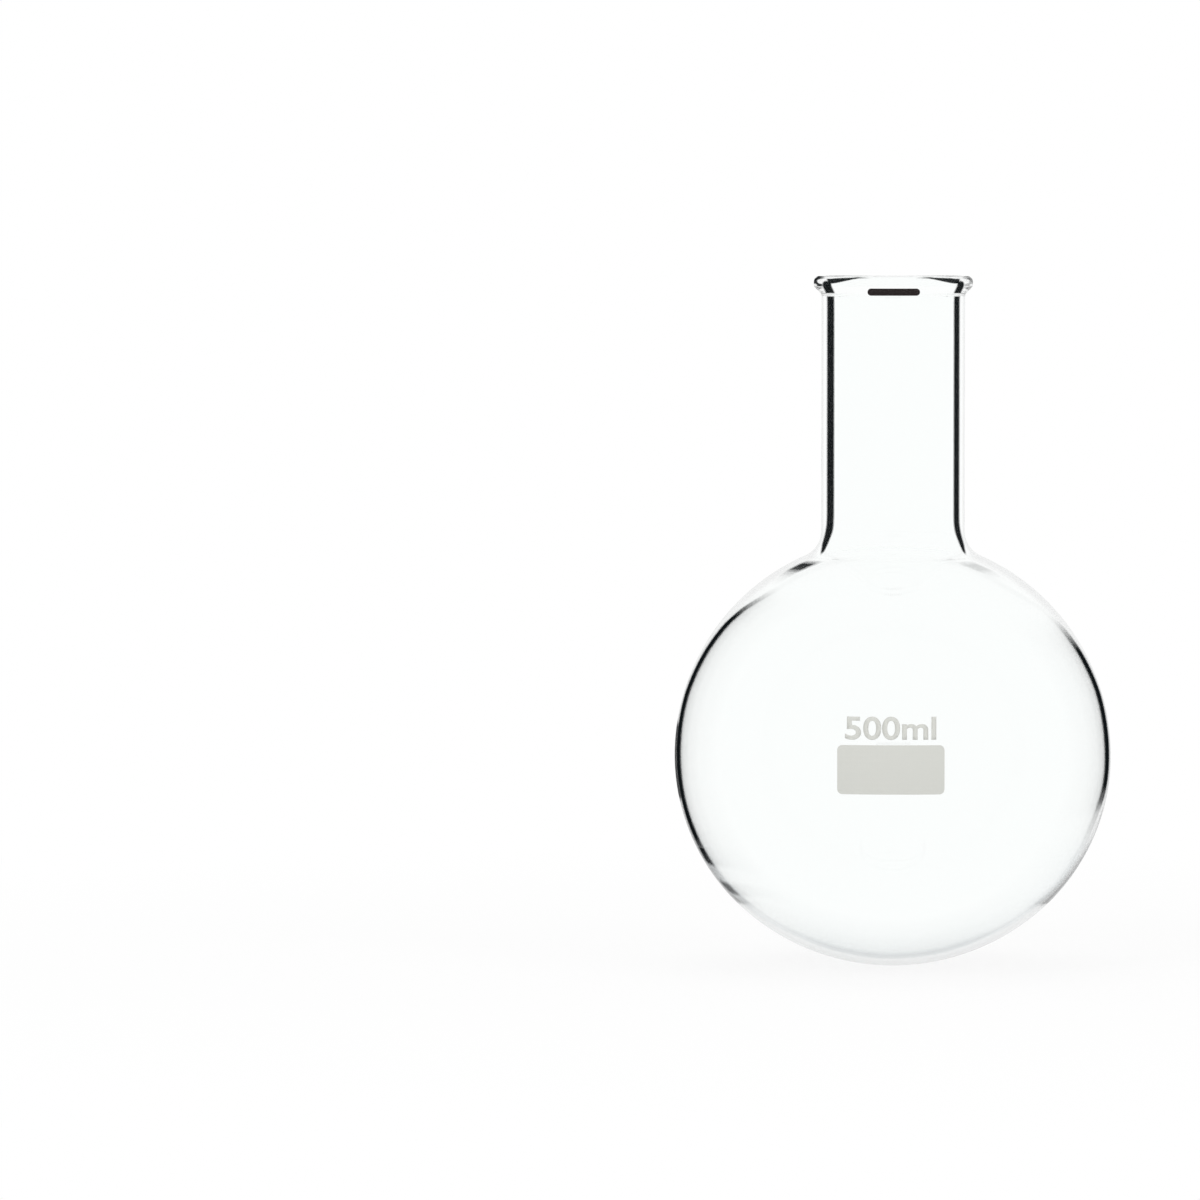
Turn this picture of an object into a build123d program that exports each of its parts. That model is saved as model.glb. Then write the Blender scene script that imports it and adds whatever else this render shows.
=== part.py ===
from build123d import *

import os
from math import acos, cos, degrees, radians, sin, tan

# A round bottom boiling flask, blown in one piece from clear glass: a ball with a slightly
# flattened bottom, a straight neck with a hollow sweep at its foot, and a fire polished lip.
# The origin is the lowest point of the bulb and +Z runs up the neck. Lengths are in millimetres.

os.makedirs("parts", exist_ok=True)

# ---------------------------------------------------------------- driving dimensions

overall_height = 166.0   # lowest point of the bulb to the top of the lip

bulb_diameter = 105.0    # at the widest level, outside
bulb_depth = 50.7        # widest level down to the lowest point, outside
bottom_angle = 50.0      # degrees below the widest level at which the flatter bottom begins
side_wall = 1.0          # blown thin at the widest level
bottom_wall = 2.0        # left thick at the lowest point
shoulder_wall = 1.6      # thicker again towards the neck: the wall the bulb's top would have
                         # if it ran on to the axis

neck_diameter = 34.5     # outside
neck_wall = 1.6
shoulder_radius = 6.5    # hollow sweep from the bulb to the neck, outside
hollow_radius = 7.5      # hollow sweep from the cavity to the bore, inside

lip_overhang = 1.85      # how far the lip stands out past the neck, on the radius
lip_height = 4.4         # top of the lip down to where the neck starts to widen
bead_height = 2.5        # top of the lip down to the foot of its bead
mouth_flare = 0.85       # how far the bore opens at the mouth, on the radius
flare_round = 1.5        # bend where the straight neck starts to widen
bead_foot_round = 0.9    # bend where the widening neck runs into the bead
outer_edge_share = 0.52  # fire polished edge, outside, as a share of the lip's wall
inner_edge_share = 0.45  # fire polished edge, inside, as a share of the lip's wall

# ---------------------------------------------------------------- sizes that follow

bulb_radius = bulb_diameter / 2
cavity_radius = bulb_radius - side_wall
cavity_depth = bulb_depth - bottom_wall
cavity_roof = bulb_radius - shoulder_wall
neck_radius = neck_diameter / 2
bore_radius = neck_radius - neck_wall

lip_radius = neck_radius + lip_overhang
mouth_radius = bore_radius + mouth_flare
lip_wall = lip_radius - mouth_radius
flare_start = overall_height - lip_height
bead_foot = overall_height - bead_height

# Above its widest level the bulb is a ball outside. Below it a side arc runs into a flatter
# bottom arc. Their centres lie so that the two are tangent where they meet, at bottom_angle:
# the side arc's stands out from the axis, and the bottom arc's is raised up it. The cavity has
# the same two arcs below, and above them a roof arc lowered down the axis in the same way.
turn = radians(bottom_angle)
tangency = 1 + tan(turn) - 1 / cos(turn)

outside_offset = (bulb_radius - bulb_depth) / tangency
outside_rise = outside_offset * tan(turn)
inside_offset = (cavity_radius - cavity_depth) / tangency
inside_rise = inside_offset * tan(turn)
roof_offset = (cavity_radius - cavity_roof) / tangency
roof_drop = roof_offset * tan(turn)
roof_radius = cavity_roof + roof_drop

# where the ball meets the neck and the roof arc meets the bore, as angles above the horizontal
outside_angle = acos(neck_radius / bulb_radius)
inside_angle = acos(bore_radius / roof_radius)
bulb_meets_neck = bulb_depth + bulb_radius * sin(outside_angle)
cavity_meets_bore = bulb_depth - roof_drop + roof_radius * sin(inside_angle)

# ---------------------------------------------------------------- flask

with BuildPart() as flask:
    with BuildSketch(Plane.XZ) as section:
        with BuildLine():
            # outside of the bulb, from its lowest point up to the neck
            CenterArc(
                (0, bulb_depth + outside_rise), bulb_depth + outside_rise, -90, 90 - bottom_angle
            )
            CenterArc(
                (outside_offset, bulb_depth), bulb_radius - outside_offset, -bottom_angle, bottom_angle
            )
            CenterArc((0, bulb_depth), bulb_radius, 0, degrees(outside_angle))
            # up the neck, over the lip and down the bore
            FilletPolyline(
                (neck_radius, bulb_meets_neck),
                (neck_radius, flare_start),
                (lip_radius, bead_foot),
                (lip_radius, overall_height),
                (mouth_radius, overall_height),
                (mouth_radius, bead_foot),
                (bore_radius, flare_start),
                (bore_radius, cavity_meets_bore),
                radius=[
                    flare_round,
                    bead_foot_round,
                    outer_edge_share * lip_wall,
                    inner_edge_share * lip_wall,
                    bead_foot_round,
                    flare_round,
                ],
            )
            # inside of the bulb
            CenterArc(
                (0, bulb_depth - roof_drop),
                roof_radius,
                bottom_angle,
                degrees(inside_angle) - bottom_angle,
            )
            CenterArc((roof_offset, bulb_depth), cavity_radius - roof_offset, 0, bottom_angle)
            CenterArc(
                (inside_offset, bulb_depth), cavity_radius - inside_offset, -bottom_angle, bottom_angle
            )
            CenterArc(
                (0, bulb_depth + inside_rise), cavity_depth + inside_rise, -90, 90 - bottom_angle
            )
            Line((0, bottom_wall), (0, 0))
        make_face()
        # the hollow sweep at the foot of the neck, outside and inside
        shoulder = section.vertices().sort_by_distance((neck_radius, bulb_meets_neck))[0]
        fillet(shoulder, radius=shoulder_radius)
        hollow = section.vertices().sort_by_distance((bore_radius, cavity_meets_bore))[0]
        fillet(hollow, radius=hollow_radius)
    revolve(axis=Axis.Z)

flask.part.label = "flask"
export_step(flask.part, "parts/flask.step")
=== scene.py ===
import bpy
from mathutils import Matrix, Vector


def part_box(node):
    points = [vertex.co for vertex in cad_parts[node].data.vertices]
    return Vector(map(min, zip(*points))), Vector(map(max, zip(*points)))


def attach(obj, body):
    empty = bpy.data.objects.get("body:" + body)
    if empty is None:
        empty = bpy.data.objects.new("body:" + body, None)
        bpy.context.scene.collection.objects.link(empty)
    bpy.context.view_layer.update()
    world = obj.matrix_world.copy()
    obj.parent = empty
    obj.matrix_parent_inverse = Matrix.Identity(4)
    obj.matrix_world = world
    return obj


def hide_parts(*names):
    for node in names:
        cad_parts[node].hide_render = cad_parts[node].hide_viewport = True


bl_info = {
    "name": "Round Bottom Flask",
    "version": (1, 0, 0),
    "blender": (4, 5, 0),
    "location": "View3D > Sidebar > Flask",
    "description": "A blown glass round bottom flask with its fired enamel marks",
    "category": "Add Mesh",
}

import math

import bpy
from mathutils import Vector

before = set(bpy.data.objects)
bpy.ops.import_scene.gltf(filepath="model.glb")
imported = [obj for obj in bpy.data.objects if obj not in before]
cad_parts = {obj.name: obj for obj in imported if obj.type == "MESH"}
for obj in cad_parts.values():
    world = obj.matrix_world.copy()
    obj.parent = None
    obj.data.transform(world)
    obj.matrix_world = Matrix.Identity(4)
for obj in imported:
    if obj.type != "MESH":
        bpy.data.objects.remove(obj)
frame_low, frame_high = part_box("flask")
MM = 0.001

BOTTOM_ANGLE = 50  # degrees below the widest level at which the flatter bottom begins
ARC_STEP = 1.8  # degrees between points on the ball's section
SWEEP_STEP = 4  # the same on the hollow sweeps, on bends and on the fire polished edges
ROUND_STEP = 5
POLISH_STEP = 7.5
FLARE_ROUND = 1.5 * MM  # bend where the straight neck starts to widen
BEAD_FOOT_ROUND = 0.9 * MM
OUTER_EDGE_SHARE = 0.52  # fire polished edges, as shares of the lip's wall
INNER_EDGE_SHARE = 0.45
NECK_RUNS = 6  # rows of faces up the straight neck
NECK_MARGIN = 0.8 * MM  # how far below the flare they end


# ------------------------------------------------------------------ settings


def length(name, description, millimetres):
    """A length shown in the panel, given here in millimetres and kept in metres."""
    return bpy.props.FloatProperty(
        name=name,
        description=description,
        default=millimetres * MM,
        min=0.0,
        precision=5,
        unit="LENGTH",
        subtype="DISTANCE",
    )


def colour(name, description, value):
    """A linear colour shown in the panel."""
    return bpy.props.FloatVectorProperty(
        name=name,
        description=description,
        default=value,
        size=3,
        min=0.0,
        max=1.0,
        subtype="COLOR",
    )


class FlaskGlass(bpy.types.PropertyGroup):
    overall_height: bpy.props.FloatProperty(
        name="Overall height",
        description="Lowest point of the bulb to the top of the lip",
        default=frame_high[2],
        unit="LENGTH",
        subtype="DISTANCE",
    )
    bulb_diameter: bpy.props.FloatProperty(
        name="Bulb diameter",
        description="Outside of the bulb at its widest level",
        default=frame_high[0] - frame_low[0],
        unit="LENGTH",
        subtype="DISTANCE",
    )
    bulb_depth: length("Bulb depth", "Widest level down to the lowest point", 50.7)
    side_wall: length("Side wall", "Wall of the bulb at its widest level", 1.0)
    bottom_wall: length("Bottom wall", "Wall of the bulb at its lowest point", 2.0)
    shoulder_wall: length("Shoulder wall", "Wall that the bulb's top would have on the axis", 1.6)
    hollow_radius: length("Hollow radius", "Hollow sweep from the cavity to the bore", 7.5)
    neck_diameter: length("Neck diameter", "Outside of the straight neck", 34.5)
    neck_wall: length("Neck wall", "Wall of the straight neck", 1.6)
    shoulder_radius: length("Shoulder radius", "Hollow sweep from the bulb to the neck", 6.5)
    lip_overhang: length("Lip overhang", "How far the lip stands out past the neck", 1.85)
    lip_height: length("Lip height", "Top of the lip down to where the neck widens", 4.4)
    bead_height: length("Bead height", "Top of the lip down to the foot of its bead", 2.5)
    mouth_flare: length("Mouth flare", "How far the bore opens at the mouth", 0.85)
    steps: bpy.props.IntProperty(
        name="Steps round",
        description="Faces round the flask",
        default=224,
        min=32,
        max=256,
    )
    tint: colour("Glass tint", "Colour of light that has passed one surface", (0.985, 0.996, 0.992))
    # painted shade: the colour of the dark lines painted on the glass
    edge: colour("Edge colour", "Colour of the dark lines in the glass", (0.006, 0.008, 0.009))
    # painted shade: the pale bluish tone painted on the bottom's edge, not a tint of the glass
    painted_pale_shade: colour("Thick colour", "Colour of the thick bottom's edge", (0.38, 0.50, 0.54))


class FlaskMarks(bpy.types.PropertyGroup):
    enamel: colour("Enamel", "Fired enamel of the writing patch and the numeral", (0.668, 0.675, 0.634))
    lip_mark: colour("Lip mark", "Fired mark on the front of the lip", (0.016, 0.009, 0.009))
    patch_width: length("Patch width", "Width of the writing patch", 25.2)
    patch_height: length("Patch height", "Height of the writing patch", 11.6)
    patch_level: length("Patch level", "Height of the patch's middle above the bulb's lowest point", 50.55)
    numeral_level: length("Numeral level", "Height of the numeral's middle", 60.0)
    numeral_height: length("Numeral height", "Height of the numeral's figures", 5.4)
    numeral: bpy.props.StringProperty(
        name="Numeral",
        description="Capacity in millilitres",
        default="500ml",
    )
    mark_width: length("Mark width", "Width of the mark on the lip", 12.5)
    mark_height: length("Mark height", "Height of the mark on the lip", 1.7)
    mark_level: length("Mark level", "Height of the middle of the mark on the lip", 162.3)
    film: length("Film", "Thickness of the fired enamel", 0.03)


class FlaskStage(bpy.types.PropertyGroup):
    camera_distance: length("Camera distance", "Camera to the flask's axis", 2000.0)
    camera_height: length("Camera height", "Camera above the floor", 182.0)
    aim_across: length("Aim across", "Where the camera aims, left of the axis", 70.5)
    aim_height: length("Aim height", "Where the camera aims, above the floor", 88.05)
    view_width: length("View width", "Width that the camera takes in at the axis", 288.9)
    fill: bpy.props.FloatProperty(
        name="Fill light",
        description="Strength of the surrounding light on matt surfaces",
        default=0.62,
    )


# ------------------------------------------------------------------ mesh tools


def start_edit(obj):
    bpy.ops.object.select_all(action="DESELECT")
    bpy.context.view_layer.objects.active = obj
    obj.select_set(True)
    bpy.ops.object.mode_set(mode="EDIT")
    bpy.ops.mesh.select_mode(type="VERT")
    bpy.ops.mesh.select_all(action="SELECT")


def end_edit(obj, name):
    bpy.ops.object.mode_set(mode="OBJECT")
    bpy.ops.object.transform_apply(location=True, rotation=True, scale=True)
    obj.name = name
    obj.data.name = name


def arc_points(centre, radius, start, end, step):
    """Points on an arc in the section plane, both ends included. Angles are in degrees."""
    count = max(2, int(math.ceil(abs(end - start) / step)))
    points = []
    for i in range(count + 1):
        angle = math.radians(start + (end - start) * i / count)
        points.append((centre[0] + radius * math.cos(angle), centre[1] + radius * math.sin(angle)))
    return points


def rounded(before, corner, after, radius, step):
    """The arc that rounds a corner between two straight runs."""
    here = Vector(corner)
    to_before = (Vector(before) - here).normalized()
    to_after = (Vector(after) - here).normalized()
    half = to_before.angle(to_after) / 2
    centre = here + (to_before + to_after).normalized() * (radius / math.sin(half))
    touch = here + to_before * (radius / math.tan(half))
    leave = here + to_after * (radius / math.tan(half))
    first = touch - centre
    last = leave - centre
    start = math.degrees(math.atan2(first.y, first.x))
    sweep = math.degrees(math.atan2(last.y, last.x)) - start
    sweep = (sweep + 180) % 360 - 180
    return arc_points(centre, radius, start, start + sweep, step)


def sweep_between(ball_radius, depth, pipe_radius, sweep_radius, upwards):
    """The hollow sweep from a ball to the straight pipe above it, and the ball's angle there."""
    centre_x = pipe_radius + sweep_radius
    reach = ball_radius + sweep_radius
    centre_z = depth + math.sqrt(reach * reach - centre_x * centre_x)
    angle = math.degrees(math.atan2(centre_z - depth, centre_x))
    points = arc_points((centre_x, centre_z), sweep_radius, angle + 180, 180, SWEEP_STEP)
    return (points if upwards else points[::-1]), angle


def flatter_end(radius, reach, turn):
    """How far the side arc's centre stands out and the end arc's is shifted to meet it in line."""
    tangency = 1 + math.tan(turn) - 1 / math.cos(turn)
    offset = (radius - reach) / tangency
    return offset, offset * math.tan(turn)


def bulb_arcs(radius, depth, turn, low, step):
    """Flatter bottom arc and side arc up to the widest level."""
    offset, rise = flatter_end(radius, depth, turn)
    split = -math.degrees(turn)
    level = low + depth
    bottom = arc_points((0, level + rise), depth + rise, -90, split, step)
    side = arc_points((offset, level), radius - offset, split, 0, step)
    return bottom + side[1:]


def flask_section(s):
    """The half section of the glass: up the outside, over the lip, down the bore and round the cavity."""
    step = ARC_STEP
    turn = math.radians(BOTTOM_ANGLE)
    bulb = s.bulb_diameter / 2
    cavity = bulb - s.side_wall
    cavity_depth = s.bulb_depth - s.bottom_wall
    neck = s.neck_diameter / 2
    bore = neck - s.neck_wall
    lip = neck + s.lip_overhang
    mouth = bore + s.mouth_flare
    lip_wall = lip - mouth
    top = s.overall_height
    flare = top - s.lip_height
    foot = top - s.bead_height
    outer_sweep, outer_angle = sweep_between(bulb, s.bulb_depth, neck, s.shoulder_radius, True)
    # the cavity's roof is flatter than its side, so the wall thickens towards the neck
    roof_offset, roof_rise = flatter_end(cavity, bulb - s.shoulder_wall, turn)
    roof_radius = bulb - s.shoulder_wall + roof_rise
    roof_level = s.bulb_depth - roof_rise
    inner_sweep, inner_angle = sweep_between(roof_radius, roof_level, bore, s.hollow_radius, False)
    points = bulb_arcs(bulb, s.bulb_depth, turn, 0, step)
    points += arc_points((0, s.bulb_depth), bulb, 0, outer_angle, step)[1:-1]
    points += outer_sweep
    corners = [
        outer_sweep[-1],
        (neck, flare),
        (lip, foot),
        (lip, top),
        (mouth, top),
        (mouth, foot),
        (bore, flare),
        inner_sweep[0],
    ]
    rounds = [
        (FLARE_ROUND, ROUND_STEP),
        (BEAD_FOOT_ROUND, ROUND_STEP),
        (OUTER_EDGE_SHARE * lip_wall, POLISH_STEP),
        (INNER_EDGE_SHARE * lip_wall, POLISH_STEP),
        (BEAD_FOOT_ROUND, ROUND_STEP),
        (FLARE_ROUND, ROUND_STEP),
    ]
    # rows of faces divide the straight neck, outside on the way up and inside on the way down
    neck_top = flare - NECK_MARGIN
    neck_foot = outer_sweep[-1][1]
    bore_foot = inner_sweep[0][1]
    for i in range(1, NECK_RUNS):
        points.append((neck, neck_foot + (neck_top - neck_foot) * i / NECK_RUNS))
    for i, (radius, round_step) in enumerate(rounds, start=1):
        points += rounded(corners[i - 1], corners[i], corners[i + 1], radius, round_step)
    for i in range(1, NECK_RUNS):
        points.append((bore, neck_top - (neck_top - bore_foot) * i / NECK_RUNS))
    points += inner_sweep
    split = math.degrees(turn)
    points += arc_points((0, roof_level), roof_radius, inner_angle, split, step)[1:-1]
    points += arc_points((roof_offset, s.bulb_depth), cavity - roof_offset, split, 0, step)[:-1]
    points += bulb_arcs(cavity, cavity_depth, turn, s.bottom_wall, step)[::-1]
    return points


# ------------------------------------------------------------------ materials


NODE_ROWS = 8  # nodes in each column of a material's layout
RIPPLE_SCALE = 60.0
RIPPLE_BUMP = 0.3
RIPPLE_HEIGHT = 0.05 * MM


def new_material(name):
    material = bpy.data.materials.new(name)
    material.use_nodes = True
    tree = material.node_tree
    tree.nodes.clear()
    return material, tree, add_node(tree, "ShaderNodeOutputMaterial")


def add_node(tree, kind, **settings):
    """A new node, laid out in columns in the order of making."""
    column, row = divmod(len(tree.nodes), NODE_ROWS)
    node = tree.nodes.new(kind)
    node.location = (220 * column, -240 * row)
    for key, value in settings.items():
        setattr(node, key, value)
    return node


def ramp(tree, source, stops, blend="LINEAR"):
    """A colour ramp of grey stops, fed by source. A stop is its place and its value."""
    node = add_node(tree, "ShaderNodeValToRGB")
    node.color_ramp.interpolation = blend
    elements = node.color_ramp.elements
    while len(elements) < len(stops):
        elements.new(0.5)
    for element, (place, value) in zip(elements, stops):
        element.position = place
        element.color = (value, value, value, 1)
    tree.links.new(source, node.inputs["Fac"])
    return node.outputs["Color"]


def maths(tree, operation, first, second=None, third=None, clamp=False):
    """One calculation on numbers and sockets."""
    node = add_node(tree, "ShaderNodeMath", operation=operation, use_clamp=clamp)
    for socket, value in zip(node.inputs, (first, second, third)):
        if value is None:
            continue
        if isinstance(value, (int, float)):
            socket.default_value = value
        else:
            tree.links.new(value, socket)
    return node.outputs[0]


def product(tree, first, *others):
    for other in others:
        first = maths(tree, "MULTIPLY", first, other)
    return first


def greatest(tree, first, *others):
    for other in others:
        first = maths(tree, "MAXIMUM", first, other)
    return first


def map_range(tree, source, low, high, out_low=0.0, out_high=1.0, kind="SMOOTHSTEP"):
    """An eased run between two values, level beyond its ends."""
    node = add_node(tree, "ShaderNodeMapRange", interpolation_type=kind)
    node.inputs["From Min"].default_value = low
    node.inputs["From Max"].default_value = high
    node.inputs["To Min"].default_value = out_low
    node.inputs["To Max"].default_value = out_high
    tree.links.new(source, node.inputs["Value"])
    return node.outputs["Result"]


def straight(tree, source, low, high, out_low=0.0, out_high=1.0):
    """The same with no easing."""
    return map_range(tree, source, low, high, out_low, out_high, "LINEAR")


def glass_shader(tree, tint):
    glass = add_node(tree, "ShaderNodeBsdfPrincipled")
    glass.inputs["Base Color"].default_value = (*tint, 1)
    glass.inputs["Roughness"].default_value = 0.0
    glass.inputs["IOR"].default_value = 1.47
    glass.inputs["Transmission Weight"].default_value = 1.0
    return glass


# the dark matt surface that the painted shade on the glass is mixed from
def painted_shade_shader(tree, tone):
    edge = add_node(tree, "ShaderNodeBsdfPrincipled")
    edge.inputs["Base Color"].default_value = (*tone, 1)
    edge.inputs["Roughness"].default_value = 0.6
    edge.inputs["Specular IOR Level"].default_value = 0.0
    return edge


def ripple_group():
    """The slow unevenness of blown glass: a height for its surface, and a value about 0."""
    group = bpy.data.node_groups.get("Blown Unevenness")
    if group:
        return group
    group = bpy.data.node_groups.new("Blown Unevenness", "ShaderNodeTree")
    group.interface.new_socket("Vector", in_out="INPUT", socket_type="NodeSocketVector")
    size = group.interface.new_socket("Scale", in_out="INPUT", socket_type="NodeSocketFloat")
    size.default_value = RIPPLE_SCALE
    group.interface.new_socket("Height", in_out="OUTPUT", socket_type="NodeSocketFloat")
    group.interface.new_socket("Uneven", in_out="OUTPUT", socket_type="NodeSocketFloat")
    start = add_node(group, "NodeGroupInput")
    end = add_node(group, "NodeGroupOutput")
    noise = add_node(group, "ShaderNodeTexNoise")
    noise.inputs["Detail"].default_value = 1.5
    group.links.new(start.outputs["Vector"], noise.inputs["Vector"])
    group.links.new(start.outputs["Scale"], noise.inputs["Scale"])
    group.links.new(noise.outputs["Fac"], end.inputs["Height"])
    group.links.new(maths(group, "SUBTRACT", noise.outputs["Fac"], 0.5), end.inputs["Uneven"])
    return group


def uneven(tree, vector):
    node = add_node(tree, "ShaderNodeGroup", node_tree=ripple_group())
    node.inputs["Scale"].default_value = RIPPLE_SCALE
    tree.links.new(vector, node.inputs["Vector"])
    return node.outputs["Height"], node.outputs["Uneven"]


def rippled(tree, glass, height):
    """Give the glass the ripple of blowing."""
    bump = add_node(tree, "ShaderNodeBump")
    bump.inputs["Strength"].default_value = RIPPLE_BUMP
    bump.inputs["Distance"].default_value = RIPPLE_HEIGHT
    tree.links.new(height, bump.inputs["Height"])
    tree.links.new(bump.outputs["Normal"], glass.inputs["Normal"])


class GlassSurface:
    """What the painted lines of shade in the glass are drawn from, over the outside of the flask.

    x, y and z are the place in metres, z above the bulb's lowest point. wander is the slow
    unevenness about 0. away is the sine of the angle between the surface's normal and the
    ray: 0 face on, 1 edge on. lateral is how far out from the axis the place is seen, in
    metres, taken from the level part of the normal, so that it keeps where the neck widens.
    """

    def __init__(self, tree):
        coordinates = add_node(tree, "ShaderNodeTexCoord")
        axes = add_node(tree, "ShaderNodeSeparateXYZ")
        tree.links.new(coordinates.outputs["Object"], axes.inputs[0])
        self.x, self.y, self.z = (axes.outputs[name] for name in "XYZ")
        self.height, self.wander = uneven(tree, coordinates.outputs["Object"])
        facing = add_node(tree, "ShaderNodeLayerWeight").outputs["Facing"]
        self.away = self.sine(tree, facing)
        square = maths(tree, "MULTIPLY_ADD", self.y, self.y, product(tree, self.x, self.x))
        radius = maths(tree, "SQRT", square)
        self.lateral = product(tree, radius, self.aside(tree, facing, coordinates.outputs["Normal"]))

    def sine(self, tree, facing):
        rest = maths(tree, "SUBTRACT", 2.0, facing)
        return maths(tree, "SQRT", product(tree, facing, rest))

    def aside(self, tree, facing, normal):
        tilt = add_node(tree, "ShaderNodeSeparateXYZ")
        tree.links.new(normal, tilt.inputs[0])
        upward = product(tree, tilt.outputs["Z"], tilt.outputs["Z"])
        level = maths(tree, "SUBTRACT", 1.0, upward, clamp=True)
        level = maths(tree, "MAXIMUM", level, 0.05)
        cosine = maths(tree, "SUBTRACT", 1.0, facing)
        share = maths(tree, "DIVIDE", maths(tree, "POWER", cosine, 2.0), level, clamp=True)
        return maths(tree, "SQRT", maths(tree, "SUBTRACT", 1.0, share))


# The dark lines in the glass are painted shade: dark colour mixed into the outside surface where the
# cavity's edge would be seen through the wall, in place of the dark that the glass refracts there. Heights
# are in metres above the bulb's lowest point, and a ramp's stops are its places and their values.

# how far in from the outline the ball's line lies, over INWARD_HEIGHT: further where the wall
# is thick
INWARD_HEIGHT = 0.1
BALL_INWARD = (
    [(0.0, 0.42), (0.08, 0.40), (0.13, 0.20), (0.20, 0.02), (0.66, 0.0), (0.76, 0.10)]
    + [(0.83, 0.25), (0.864, 0.45), (0.894, 0.78), (0.92, 0.95), (1.0, 1.0)]
)
INWARD_MOST = 0.058
LINE_START = 0.8  # where the line's soft inner side begins, as a value of away
LINE_SPAN = 0.22  # and how far it goes on
LINE_WANDER = 0.006
# painted darkness across the ball's line of shade, from its soft inner side to the outline
BALL_LINE_PAINTED_SHADE = (
    [(0.0, 0.0), (0.42, 0.04), (0.62, 0.11), (0.735, 0.24), (0.77, 0.42), (0.793, 0.9)]
    + [(0.81, 1.0), (0.865, 1.0), (0.89, 0.3), (0.91, 0.12)]
)
BALL_LINE_EDGE = 0.868  # the last dark place across the line
LOW_END_LEAN = -0.12  # how its ends move with x: it ends lower on the left
HIGH_END_LEAN = 0.1
END_WANDER = 4 * MM
# how the line gives out towards the bottom, and the dashes that follow it on the left
LINE_END = [(0.0, 0.05), (0.37, 0.12), (0.52, 0.22), (0.72, 0.4), (0.84, 0.85), (1.0, 1.0)]
DASHES = (
    [(0.33, 0.0), (0.38, 0.7), (0.46, 0.8), (0.52, 0.1), (0.62, 0.1), (0.68, 0.95)]
    + [(0.84, 1.0), (0.9, 0.3), (1.0, 0.2)]
)
# the painted pale bluish shade on the bottom's edge, across the same width as the line
PAINTED_BOTTOM_SHADE = (
    [(0.0, 0.0), (0.42, 0.22), (0.62, 0.42), (0.735, 0.6), (0.79, 1.0), (0.865, 1.0)]
    + [(0.89, 0.25), (1.0, 0.3)]
)
NECK_SPAN = (98 * MM, 168 * MM)  # the heights between which the neck's line is described
NECK_REACH = 20 * MM
# where it stands between them, as a share of NECK_REACH from the axis
NECK_MIDDLE = (
    [(0.014, 0.835), (0.029, 0.825), (0.053, 0.81), (0.075, 0.787), (0.10, 0.764)]
    + [(0.125, 0.7525), (0.16, 0.75), (0.88, 0.75), (0.905, 0.752), (0.92, 0.768)]
    + [(0.932, 0.793), (0.946, 0.799), (0.953, 0.79), (0.96, 0.75)]
)
# how wide it is there, as a share of its width
NECK_WIDTH = (
    [(0.014, 0.0), (0.029, 0.35), (0.053, 0.65), (0.075, 0.72), (0.10, 0.8), (0.9, 0.8)]
    + [(0.912, 0.98), (0.945, 1.0), (0.96, 0.9)]
)
# the painted dark patch of shade on the shoulder, across and along
SHOULDER_ACROSS = [(0.38, 0.0), (0.50, 1.0), (0.70, 1.0), (0.80, 0.0)]
SHOULDER_ALONG = [(0.0, 0.0), (0.3, 0.10), (0.46, 0.35), (0.58, 0.95), (0.74, 1.0), (0.88, 0.0)]


def across_ball(tree, g):
    """The place across the ball's line: 0 well inside the outline, about 0.9 on it."""
    level = maths(tree, "DIVIDE", g.z, INWARD_HEIGHT, clamp=True)
    inward = product(tree, ramp(tree, level, BALL_INWARD), INWARD_MOST)
    across = maths(tree, "ADD", g.away, inward)
    across = maths(tree, "ADD", across, product(tree, g.wander, LINE_WANDER))
    across = maths(tree, "DIVIDE", maths(tree, "SUBTRACT", across, LINE_START), LINE_SPAN)
    # at mid height on the left the line reaches the outline
    edge = map_range(tree, g.x, -30 * MM, -10 * MM, BALL_LINE_EDGE, 1.0)
    for low, high in ((58 * MM, 68 * MM), (41 * MM, 33 * MM)):
        edge = maths(tree, "MAXIMUM", edge, straight(tree, g.z, low, high, BALL_LINE_EDGE, 1.0))
    across = maths(tree, "MINIMUM", across, edge)
    # on the right its lower end turns inwards
    turn_in = map_range(tree, g.z, 34 * MM, 46 * MM, 0.05, 0.0)
    return maths(tree, "MULTIPLY_ADD", turn_in, map_range(tree, g.x, 20 * MM, 40 * MM), across)


def painted_ball_shade_line(tree, g, across):
    """The painted dark line of shade down each side of the ball. It ends lower on the left, in two dashes.
    """
    lean = maths(tree, "ADD", g.x, 50 * MM)
    ragged = product(tree, g.wander, END_WANDER)
    lower = maths(tree, "ADD", maths(tree, "MULTIPLY_ADD", lean, LOW_END_LEAN, g.z), ragged)
    upper = maths(tree, "MULTIPLY_ADD", lean, HIGH_END_LEAN, g.z)
    low_end = ramp(tree, straight(tree, lower, 10 * MM, 31.5 * MM), LINE_END)
    high_end = map_range(tree, upper, 85.5 * MM, 94.5 * MM, 1.0, 0.04)
    dash_level = straight(tree, maths(tree, "ADD", g.z, ragged), 10.5 * MM, 32.5 * MM)
    left = map_range(tree, g.x, -30 * MM, -20 * MM, 1.0, 0.0)
    dashes = product(tree, ramp(tree, dash_level, DASHES), left)
    strength = product(tree, greatest(tree, low_end, dashes), high_end)
    return product(tree, ramp(tree, across, BALL_LINE_PAINTED_SHADE), strength)


def painted_bottom_shade(tree, g, across):
    """Where the line has ended, painted shade makes the bottom's edge only a little darker and bluish."""
    low = map_range(tree, g.z, 26 * MM, 38 * MM, 0.30, 0.0)
    middle = map_range(tree, maths(tree, "ABSOLUTE", g.x), 12 * MM, 36 * MM, 1.0, 0.5)
    return product(tree, ramp(tree, across, PAINTED_BOTTOM_SHADE), low, middle)


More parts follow.
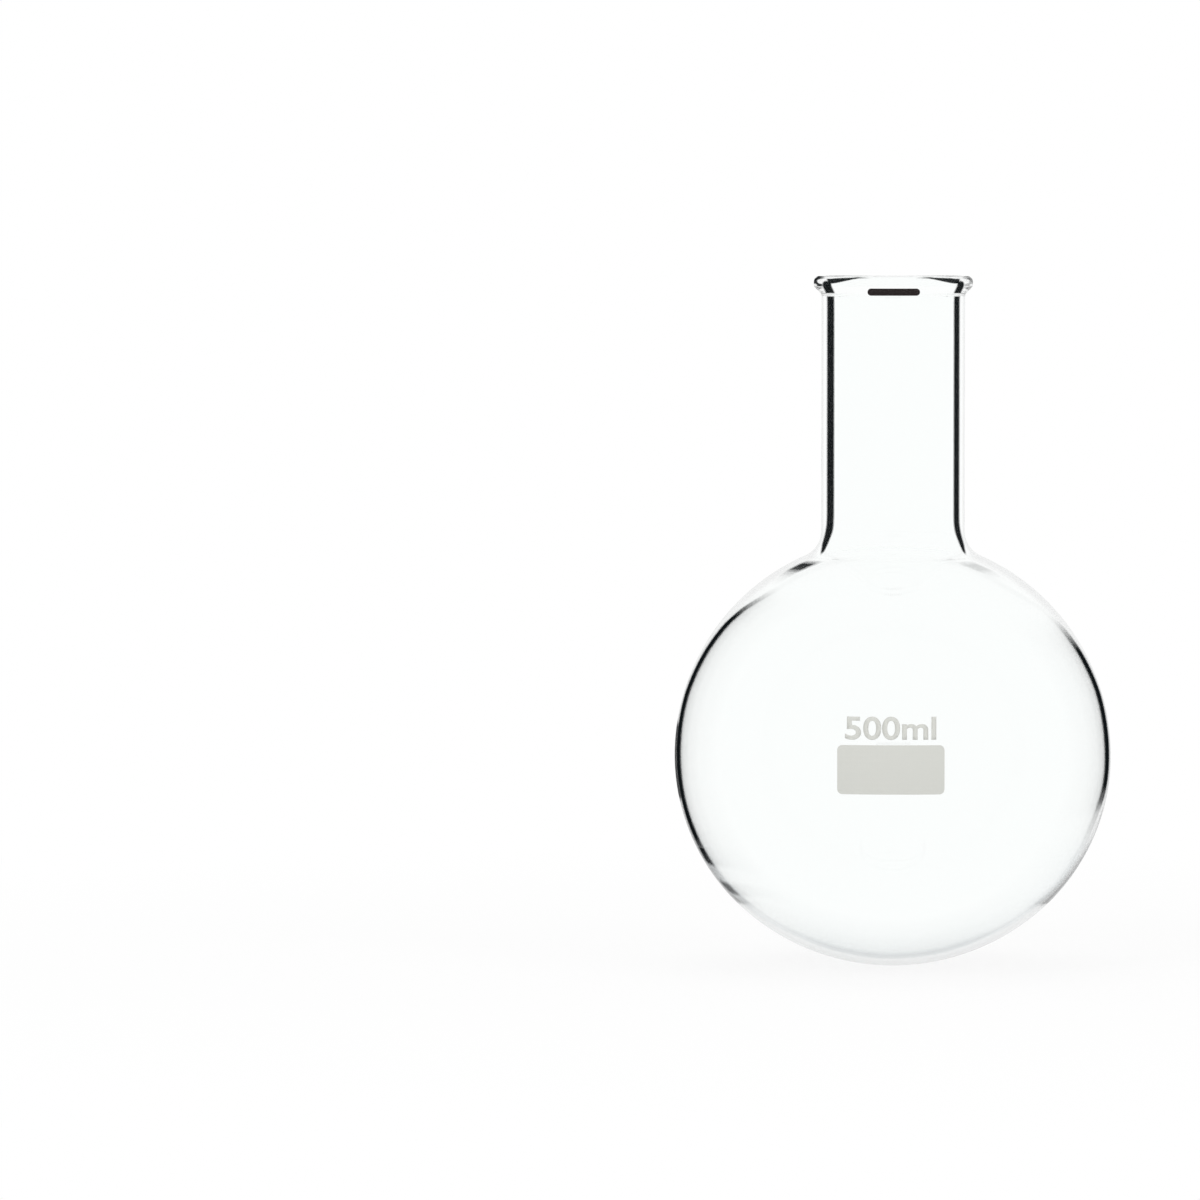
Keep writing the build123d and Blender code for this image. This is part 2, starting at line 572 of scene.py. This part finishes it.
def painted_neck_shade_line(tree, g):
    """The painted dark line of shade where the neck's inner wall begins. It runs out along the sweep and
    breaks under the lip.
    """
    level = straight(tree, g.z, *NECK_SPAN)
    middle = product(tree, ramp(tree, level, NECK_MIDDLE, "B_SPLINE"), NECK_REACH)
    middle = maths(tree, "ADD", middle, straight(tree, g.x, -10 * MM, 10 * MM, 0.04 * MM, 0.24 * MM))
    half = straight(tree, g.x, -10 * MM, 10 * MM, 1.0 * MM, 0.78 * MM)
    width = product(tree, ramp(tree, level, NECK_WIDTH), half)
    apart = maths(tree, "ABSOLUTE", maths(tree, "SUBTRACT", g.lateral, middle))
    line = map_range(tree, maths(tree, "SUBTRACT", apart, width), -0.2 * MM, 0.34 * MM, 0.99, 0.0)
    foot = map_range(tree, g.z, 99.0 * MM, 100.2 * MM)
    below_break = map_range(tree, g.z, 161.0 * MM, 161.4 * MM, 1.0, 0.08)
    above_break = map_range(tree, g.z, 161.8 * MM, 162.1 * MM)
    top = map_range(tree, g.z, 164.6 * MM, 165.2 * MM, 1.0, 0.0)
    return product(tree, line, foot, greatest(tree, below_break, product(tree, above_break, top)))


def painted_mouth_shade_stroke(tree, g):
    """The mouth's edge: a painted dark stroke of shade that rises from the neck's line towards the middle
    of the lip.
    """
    rise = straight(tree, g.lateral, 8.0 * MM, 14.8 * MM, 165.72 * MM, 164.86 * MM)
    width = straight(tree, g.lateral, 9.5 * MM, 13.8 * MM, 0.18 * MM, 0.56 * MM)
    apart = maths(tree, "ABSOLUTE", maths(tree, "SUBTRACT", g.z, rise))
    stroke = map_range(tree, maths(tree, "SUBTRACT", apart, width), -0.1 * MM, 0.14 * MM, 0.98, 0.0)
    start = map_range(tree, g.lateral, 4.0 * MM, 9.8 * MM)
    end = map_range(tree, g.lateral, 15.6 * MM, 16.2 * MM, 1.0, 0.0)
    return product(tree, stroke, start, end)


def painted_bead_shade_loop(tree, g):
    """The painted dark loop of shade that outlines the bead's end, darker on the left than on the right."""
    out = straight(tree, g.lateral, 17.2 * MM, 18.7 * MM)
    over = straight(tree, g.z, 163.95 * MM, 165.65 * MM, -1.0, 1.0)
    square = maths(tree, "MULTIPLY_ADD", over, over, product(tree, out, out))
    apart = maths(tree, "SUBTRACT", maths(tree, "SQRT", square), 1.0)
    loop = map_range(tree, maths(tree, "ABSOLUTE", apart), 0.16, 0.40, 0.97, 0.0)
    side = straight(tree, g.x, -12 * MM, 14 * MM, 1.0, 0.5)
    ends = map_range(tree, g.lateral, 15.8 * MM, 17.6 * MM)
    return product(tree, loop, side, ends, map_range(tree, g.z, 163.4 * MM, 163.7 * MM))


def painted_shoulder_shade(tree, g):
    """The short painted dark patch of shade where the wall thickens into the neck."""
    nearer = straight(tree, g.x, -15 * MM, 15 * MM, 0.0, 0.016)
    place = straight(tree, maths(tree, "ADD", g.away, nearer), 0.9, 1.0)
    level = straight(tree, g.z, 92 * MM, 99 * MM)
    side = straight(tree, g.x, -15 * MM, 15 * MM, 0.98, 0.3)
    return product(tree, ramp(tree, place, SHOULDER_ACROSS), ramp(tree, level, SHOULDER_ALONG), side)


def outer_glass(s):
    """The outside of the flask: clear, with painted dark lines of shade where the ball, neck and lip turn
    away, and a faint painted darkening at the outline.
    """
    material, tree, output = new_material("clear_glass_outside")
    g = GlassSurface(tree)
    across = across_ball(tree, g)
    # painted shade: a faint darkening towards the outline, with the dark lines below, stands in for the
    # dark that real glass refracts and reflects at its edges
    outline = map_range(tree, g.away, 0.955, 0.985, 0.0, 0.12)
    dark = greatest(
        tree,
        painted_ball_shade_line(tree, g, across),
        painted_neck_shade_line(tree, g),
        painted_mouth_shade_stroke(tree, g),
        painted_bead_shade_loop(tree, g),
        painted_shoulder_shade(tree, g),
        outline,
    )
    # the painted lines of shade are seen on the surface itself, not again through the glass behind it
    seen = add_node(tree, "ShaderNodeLightPath").outputs["Is Camera Ray"]
    surface = glass_shader(tree, s.tint)
    rippled(tree, surface, g.height)
    # mix in the painted shade: first the pale bluish tone on the bottom's edge, then the dark lines
    for share, tone in ((painted_bottom_shade(tree, g, across), s.painted_pale_shade), (dark, s.edge)):
        mix = add_node(tree, "ShaderNodeMixShader")
        tree.links.new(product(tree, share, seen), mix.inputs[0])
        tree.links.new(surface.outputs[0], mix.inputs[1])
        tree.links.new(painted_shade_shader(tree, tone).outputs[0], mix.inputs[2])
        surface = mix
    tree.links.new(surface.outputs[0], output.inputs["Surface"])
    return material


def inner_glass(s):
    """The inside of the flask: plain clear glass."""
    material, tree, output = new_material("clear_glass_inside")
    place = add_node(tree, "ShaderNodeTexCoord")
    glass = glass_shader(tree, s.tint)
    rippled(tree, glass, uneven(tree, place.outputs["Object"])[0])
    tree.links.new(glass.outputs[0], output.inputs["Surface"])
    return material


def enamel(name, tone, speckle):
    """Matt fired enamel with a faint grain."""
    material, tree, output = new_material(name)
    place = add_node(tree, "ShaderNodeTexCoord")
    grain = add_node(tree, "ShaderNodeTexNoise")
    grain.inputs["Scale"].default_value = 2500.0
    grain.inputs["Detail"].default_value = 3.0
    tree.links.new(place.outputs["Object"], grain.inputs["Vector"])
    mix = add_node(tree, "ShaderNodeMix", data_type="RGBA")
    mix.inputs["A"].default_value = (*[c * (1 - speckle) for c in tone], 1)
    mix.inputs["B"].default_value = (*[min(1, c * (1 + speckle)) for c in tone], 1)
    tree.links.new(grain.outputs["Fac"], mix.inputs["Factor"])
    bump = add_node(tree, "ShaderNodeBump")
    bump.inputs["Strength"].default_value = 0.25
    bump.inputs["Distance"].default_value = 0.02 * MM
    tree.links.new(grain.outputs["Fac"], bump.inputs["Height"])
    shader = add_node(tree, "ShaderNodeBsdfPrincipled")
    shader.inputs["Roughness"].default_value = 0.65
    shader.inputs["Specular IOR Level"].default_value = 0.3
    tree.links.new(mix.outputs["Result"], shader.inputs["Base Color"])
    tree.links.new(bump.outputs["Normal"], shader.inputs["Normal"])
    tree.links.new(shader.outputs[0], output.inputs["Surface"])
    return material


# ------------------------------------------------------------------ pieces


SAME_PLACE = 1e-7  # metres


class FLASK_OT_blow_glass(bpy.types.Operator):
    """Spin the flask's glass from its section"""

    bl_idname = "flask.blow_glass"
    bl_label = "Blow the Glass"

    def execute(self, context):
        s = context.scene.flask_glass
        section = flask_section(s)
        bpy.ops.object.select_all(action="DESELECT")
        bpy.ops.mesh.primitive_plane_add(size=MM, location=(0, 0, 0))
        glass = context.active_object
        start_edit(glass)
        bpy.ops.mesh.merge(type="CENTER")
        here = (0.0, 0.0)
        for point in section[1:]:
            step = (point[0] - here[0], 0, point[1] - here[1])
            if math.hypot(step[0], step[2]) < SAME_PLACE:
                continue
            bpy.ops.mesh.extrude_vertices_move(TRANSFORM_OT_translate={"value": step})
            here = point
        bpy.ops.mesh.select_all(action="SELECT")
        bpy.ops.mesh.spin(steps=s.steps, angle=2 * math.pi, center=(0, 0, 0), axis=(0, 0, 1))
        bpy.ops.mesh.select_all(action="SELECT")
        bpy.ops.mesh.remove_doubles(threshold=2e-6)
        bpy.ops.mesh.normals_make_consistent(inside=False)
        end_edit(glass, "flask_glass")
        bpy.ops.object.shade_smooth()
        glass.data.materials.append(outer_glass(s))
        glass.data.materials.append(inner_glass(s))
        # a face of the ball is outside where it looks away from the ball's middle, and a face
        # above it where it looks away from the axis
        for face in glass.data.polygons:
            across = face.normal.x * face.center.x + face.normal.y * face.center.y
            if face.center.z < s.bulb_depth:
                across += face.normal.z * (face.center.z - s.bulb_depth)
            face.material_index = 0 if across > 0 else 1
        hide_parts("flask")
        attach(glass, "root")
        return {"FINISHED"}


UPRIGHT = (math.pi / 2, 0, 0)
IN_FRONT = -80 * MM  # flat pieces start here and are laid back on the glass
PATCH_ACROSS = -0.4 * MM
PATCH_CORNER = 1.2 * MM
PATCH_GRID = 1.2 * MM
MARK_ACROSS = 0.1 * MM
MARK_CORNER = 0.84 * MM
FIGURE_SHARE = 0.73  # height of a figure as a share of the text's size
FIGURE_WIDENING = 1.2
FIGURE_WEIGHT = 0.15 * MM
FIGURE_GRID = 1.4 * MM


def cut_across(places):
    """Cut the mesh in edit mode at places along X, so that it can follow a round surface."""
    for place in places:
        bpy.ops.mesh.select_all(action="SELECT")
        bpy.ops.mesh.bisect(plane_co=(place, 0, 0), plane_no=(1, 0, 0))


def cut_level(levels):
    """The same at heights."""
    for level in levels:
        bpy.ops.mesh.select_all(action="SELECT")
        bpy.ops.mesh.bisect(plane_co=(0, 0, level), plane_no=(0, 0, 1))


def fire_on(piece, film):
    """Lay a flat piece on the front of the glass and give it its thickness."""
    wrap = piece.modifiers.new("lie_on_glass", "SHRINKWRAP")
    wrap.target = bpy.data.objects["flask_glass"]
    wrap.wrap_method = "PROJECT"
    wrap.use_project_y = True
    wrap.use_project_x = False
    wrap.use_project_z = False
    wrap.use_positive_direction = True
    wrap.use_negative_direction = False
    wrap.offset = 0.1 * film
    bpy.ops.object.modifier_apply(modifier=wrap.name)
    thicken = piece.modifiers.new("film", "SOLIDIFY")
    thicken.thickness = film
    thicken.offset = 1.0
    bpy.ops.object.modifier_apply(modifier=thicken.name)


class FLASK_OT_fire_marks(bpy.types.Operator):
    """Fire the writing patch, the capacity numeral and the lip mark on the glass"""

    bl_idname = "flask.fire_marks"
    bl_label = "Fire the Marks"

    def execute(self, context):
        s = context.scene.flask_marks
        stage = context.scene.flask_stage
        grey = enamel("grey_enamel", s.enamel, 0.015)
        black = enamel("black_enamel", s.lip_mark, 0.2)
        patch_size = (s.patch_width, s.patch_height)
        mark_size = (s.mark_width, s.mark_height)
        self.patch("writing_patch", patch_size, PATCH_CORNER, (PATCH_ACROSS, s.patch_level), grey, s.film)
        self.patch("lip_mark", mark_size, MARK_CORNER, (MARK_ACROSS, s.mark_level), black, s.film)
        self.numeral(s, grey)
        # the marks face the camera, which stands a little to the left of the flask's axis
        turn = math.atan2(stage.aim_across, stage.camera_distance)
        for name in ("writing_patch", "lip_mark", "capacity_numeral"):
            piece = bpy.data.objects[name]
            piece.rotation_euler = (0, 0, -turn)
            bpy.ops.object.select_all(action="DESELECT")
            piece.select_set(True)
            context.view_layer.objects.active = piece
            bpy.ops.object.transform_apply(location=True, rotation=True, scale=True)
            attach(piece, "root")
        return {"FINISHED"}

    def patch(self, name, size, corner, middle, material, film):
        """A flat rectangle with rounded corners, cut into small faces and laid on the glass."""
        width, height = size
        across, level = middle
        bpy.ops.object.select_all(action="DESELECT")
        bpy.ops.mesh.primitive_plane_add(size=1, location=(across, IN_FRONT, level), rotation=UPRIGHT)
        piece = bpy.context.active_object
        piece.scale = (width, height, 1)
        start_edit(piece)
        bpy.ops.object.mode_set(mode="OBJECT")
        bpy.ops.object.transform_apply(location=True, rotation=True, scale=True)
        start_edit(piece)
        bpy.ops.mesh.bevel(offset=corner, segments=6, affect="VERTICES")
        columns = max(4, int(width / PATCH_GRID))
        rows = max(1, int(height / PATCH_GRID))
        cut_across([across - width / 2 + width * i / columns for i in range(1, columns)])
        cut_level([level - height / 2 + height * i / rows for i in range(1, rows)])
        end_edit(piece, name)
        piece.data.materials.append(material)
        fire_on(piece, film)

    def numeral(self, s, material):
        """The capacity in plain figures, made a mesh and laid on the glass."""
        bpy.ops.object.select_all(action="DESELECT")
        bpy.ops.object.text_add(location=(PATCH_ACROSS, IN_FRONT, s.numeral_level), rotation=UPRIGHT)
        words = bpy.context.active_object
        words.scale = (FIGURE_WIDENING, 1, 1)
        words.data.body = s.numeral
        words.data.size = s.numeral_height / FIGURE_SHARE
        words.data.align_x = "CENTER"
        words.data.align_y = "CENTER"
        words.data.offset = FIGURE_WEIGHT
        words.data.resolution_u = 6
        bpy.ops.object.convert(target="MESH")
        words = bpy.context.active_object
        bpy.ops.object.transform_apply(location=True, rotation=True, scale=True)
        start_edit(words)
        bpy.ops.mesh.remove_doubles(threshold=1e-6)
        cut_across([FIGURE_GRID * i for i in range(-9, 10)])
        cut_level([s.numeral_level + FIGURE_GRID * i for i in range(-2, 3)])
        end_edit(words, "capacity_numeral")
        words.data.materials.clear()
        words.data.materials.append(material)
        fire_on(words, s.film)


# ------------------------------------------------------------------ stage


LIGHT_BOUNCES = 40
LAMP_AIM = (0, 0, 0.08)
LAMPS = (  # name, place, size and power
    ("lamp_left", (-0.9, -1.1, 1.1), 0.8, 7.0),
    ("lamp_right", (1.0, -0.9, 1.0), 0.8, 5.0),
    ("lamp_top", (0.0, 0.3, 1.6), 1.0, 5.0),
)


class FLASK_OT_set_stage(bpy.types.Operator):
    """Lay the floor and place the lamps and the camera"""

    bl_idname = "flask.set_stage"
    bl_label = "Set the Stage"

    def execute(self, context):
        s = context.scene.flask_stage
        self.floor()
        self.world(s)
        self.lamps()
        self.camera(s)
        context.scene.view_settings.view_transform = "Standard"
        # light goes round inside the thick glass many times before it comes out
        context.scene.cycles.max_bounces = LIGHT_BOUNCES
        context.scene.cycles.glossy_bounces = LIGHT_BOUNCES
        context.scene.cycles.transmission_bounces = LIGHT_BOUNCES
        return {"FINISHED"}

    def floor(self):
        """A white floor that the flask shades only close by."""
        bpy.ops.object.select_all(action="DESELECT")
        bpy.ops.mesh.primitive_plane_add(size=40, location=(0, 0, 0))
        floor = bpy.context.active_object
        floor.name = "floor"
        material, tree, output = new_material("white_floor")
        matt = add_node(tree, "ShaderNodeBsdfDiffuse")
        matt.inputs["Color"].default_value = (0.9, 0.9, 0.9, 1)
        glow = add_node(tree, "ShaderNodeEmission")
        place = add_node(tree, "ShaderNodeTexCoord")
        away = add_node(tree, "ShaderNodeVectorMath", operation="LENGTH")
        tree.links.new(place.outputs["Object"], away.inputs[0])
        plain = map_range(tree, away.outputs["Value"], 0.12, 0.4, 0.9, 1.0)
        path = add_node(tree, "ShaderNodeLightPath")
        seen = product(tree, path.outputs["Is Camera Ray"], plain)
        bent = maths(tree, "MAXIMUM", path.outputs["Is Glossy Ray"], path.outputs["Is Transmission Ray"])
        mix = add_node(tree, "ShaderNodeMixShader")
        tree.links.new(maths(tree, "MAXIMUM", seen, bent), mix.inputs[0])
        tree.links.new(matt.outputs[0], mix.inputs[1])
        tree.links.new(glow.outputs[0], mix.inputs[2])
        tree.links.new(mix.outputs[0], output.inputs["Surface"])
        floor.data.materials.append(material)

    def world(self, s):
        """White where it is seen, straight or in the glass, and softer as light."""
        world = bpy.data.worlds.new("white_surround")
        bpy.context.scene.world = world
        world.use_nodes = True
        tree = world.node_tree
        tree.nodes.clear()
        output = add_node(tree, "ShaderNodeOutputWorld")
        back = add_node(tree, "ShaderNodeBackground")
        back.inputs["Color"].default_value = (1, 1, 1, 1)
        path = add_node(tree, "ShaderNodeLightPath").outputs
        seen = maths(tree, "MAXIMUM", path["Is Camera Ray"], path["Is Glossy Ray"])
        seen = maths(tree, "MAXIMUM", seen, path["Is Transmission Ray"])
        strength = maths(tree, "MULTIPLY_ADD", seen, 1 - s.fill, s.fill)
        tree.links.new(strength, back.inputs["Strength"])
        tree.links.new(back.outputs[0], output.inputs["Surface"])

    def lamps(self):
        """Soft lamps that light the enamel and aren't seen in the glass."""
        for name, place, size, power in LAMPS:
            bpy.ops.object.light_add(type="AREA", location=place)
            lamp = bpy.context.active_object
            lamp.name = name
            lamp.data.size = size
            lamp.data.energy = power
            lamp.visible_glossy = False
            lamp.visible_transmission = False
            aim = Vector(LAMP_AIM) - Vector(place)
            lamp.rotation_euler = aim.to_track_quat("-Z", "Y").to_euler()

    def camera(self, s):
        """A long lens, a little above the flask and left of its axis."""
        place = Vector((-s.aim_across, -s.camera_distance, s.camera_height))
        bpy.ops.object.camera_add(location=place)
        camera = bpy.context.active_object
        camera.name = "camera"
        aim = Vector((-s.aim_across, 0, s.aim_height)) - place
        camera.rotation_euler = aim.to_track_quat("-Z", "Y").to_euler()
        camera.data.sensor_width = 36
        camera.data.lens = camera.data.sensor_width * aim.length / s.view_width
        camera.data.clip_end = 100
        bpy.context.scene.camera = camera


# ------------------------------------------------------------------ panel


class FLASK_PT_panel(bpy.types.Panel):
    bl_label = "Round Bottom Flask"
    bl_space_type = "VIEW_3D"
    bl_region_type = "UI"
    bl_category = "Flask"

    def draw(self, context):
        layout = self.layout
        for group in ("flask_glass", "flask_marks", "flask_stage"):
            box = layout.box()
            settings = getattr(context.scene, group)
            for key in settings.bl_rna.properties.keys():
                if key not in ("rna_type", "name"):
                    box.prop(settings, key)
        for operator in OPERATORS:
            layout.operator(operator.bl_idname)


OPERATORS = (FLASK_OT_blow_glass, FLASK_OT_fire_marks, FLASK_OT_set_stage)
CLASSES = (FlaskGlass, FlaskMarks, FlaskStage, *OPERATORS, FLASK_PT_panel)
GROUPS = {"flask_glass": FlaskGlass, "flask_marks": FlaskMarks, "flask_stage": FlaskStage}


def register():
    for cls in CLASSES:
        bpy.utils.register_class(cls)
    for name, group in GROUPS.items():
        setattr(bpy.types.Scene, name, bpy.props.PointerProperty(type=group))


def unregister():
    for name in GROUPS:
        delattr(bpy.types.Scene, name)
    for cls in reversed(CLASSES):
        bpy.utils.unregister_class(cls)


def main():
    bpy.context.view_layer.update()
    register()
    bpy.ops.flask.blow_glass()
    bpy.ops.flask.fire_marks()
    bpy.ops.flask.set_stage()


if __name__ == "__main__":
    main()
